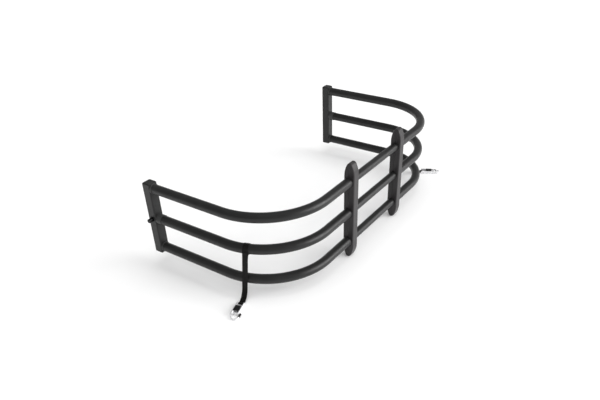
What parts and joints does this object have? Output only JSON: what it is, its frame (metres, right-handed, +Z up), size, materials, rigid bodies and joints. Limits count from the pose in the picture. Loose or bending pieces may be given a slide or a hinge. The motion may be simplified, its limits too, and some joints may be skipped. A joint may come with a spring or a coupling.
{
  "type": "truck bed extender",
  "caption": "U-shaped guard of bent and straight tubes joined by moulded uprights, with pivot pins at the leg ends and buckled webbing straps. Telescopes to suit the width of a truck bed.",
  "frame": {"origin": "on the ground under the middle of the frame without its straps, at the level of the middle uprights' feet", "axes": "+X along the crosswise tubes, +Y along the legs away from the crosswise tubes, +Z up"},
  "size_m": [1.707, 0.7796, 0.4805],
  "materials": {
    "tube_coat": "satin black powder coat",
    "end_coat": "satin black powder coat",
    "upright_nylon": "moulded, fine grain",
    "cap_nylon": "moulded, fine grain",
    "collar_nylon": "moulded, fine grain",
    "screw_steel": "black zinc",
    "pivot_steel": "black zinc, turned",
    "nut_steel": "zinc plated",
    "webbing": "woven polyester",
    "buckle_zinc": "bright zinc casting",
    "lever_black": "black paint",
    "rivet_steel": "zinc plated",
    "hook_wire": "bright zinc plated",
    "tip_vinyl": "dipped vinyl"
  },
  "bodies": {
    "centre_rails": {"centre_tube_bottom": "tube_coat", "centre_tube_middle": "tube_coat", "centre_tube_top": "tube_coat"},
    "left_frame": {"left_corner_tube_bottom": "tube_coat", "left_corner_tube_middle": "tube_coat", "left_corner_tube_top": "tube_coat", "left_mid_upright_front": "upright_nylon", "left_mid_upright_rear": "upright_nylon", "left_mid_upright_screws": "screw_steel", "left_end_upright": "end_coat", "left_end_cap_top": "cap_nylon", "left_end_cap_bottom": "cap_nylon", "left_tube_collars": "collar_nylon", "left_pivot_pin": "pivot_steel", "left_pivot_nut": "nut_steel", "left_strap_webbing": "webbing", "left_buckle_frame": "buckle_zinc", "left_lever_pin": "rivet_steel"},
    "left_lever": {"left_buckle_lever": "lever_black"},
    "left_hook": {"left_strap_hook": "hook_wire", "left_hook_tip": "tip_vinyl"},
    "right_frame": {"right_corner_tube_bottom": "tube_coat", "right_corner_tube_middle": "tube_coat", "right_corner_tube_top": "tube_coat", "right_mid_upright_front": "upright_nylon", "right_mid_upright_rear": "upright_nylon", "right_mid_upright_screws": "screw_steel", "right_end_upright": "end_coat", "right_end_cap_top": "cap_nylon", "right_end_cap_bottom": "cap_nylon", "right_tube_collars": "collar_nylon", "right_pivot_pin": "pivot_steel", "right_pivot_nut": "nut_steel", "right_strap_webbing": "webbing", "right_buckle_frame": "buckle_zinc", "right_lever_pin": "rivet_steel"},
    "right_lever": {"right_buckle_lever": "lever_black"},
    "right_hook": {"right_strap_hook": "hook_wire", "right_hook_tip": "tip_vinyl"}
  },
  "joints": [
    {"name": "left_width_slide", "type": "slide", "parent": "centre_rails", "child": "left_frame", "axis": [-1, 0, 0], "range_m": [-0.02, 0.05]},
    {"name": "left_lever_hinge", "type": "hinge", "parent": "left_frame", "child": "left_lever", "pos_m": [-0.8313, -0.17494, 0.011], "axis": [-0.304, 0.9527, 0], "range_deg": [0, 60]},
    {"name": "left_hook_hinge", "type": "hinge", "parent": "left_frame", "child": "left_hook", "pos_m": [-0.86369, -0.18528, 0.0116], "axis": [-0.304, 0.9527, 0], "range_deg": [0, 85]},
    {"name": "right_width_slide", "type": "slide", "parent": "centre_rails", "child": "right_frame", "axis": [1, 0, 0], "range_m": [-0.02, 0.05]},
    {"name": "right_lever_hinge", "type": "hinge", "parent": "right_frame", "child": "right_lever", "pos_m": [0.76338, -0.31436, 0.011], "axis": [-0.8988, -0.4384, 0], "range_deg": [0, 60]},
    {"name": "right_hook_hinge", "type": "hinge", "parent": "right_frame", "child": "right_hook", "pos_m": [0.77829, -0.34492, 0.0116], "axis": [-0.8988, -0.4384, 0], "range_deg": [0, 85]}
  ]
}
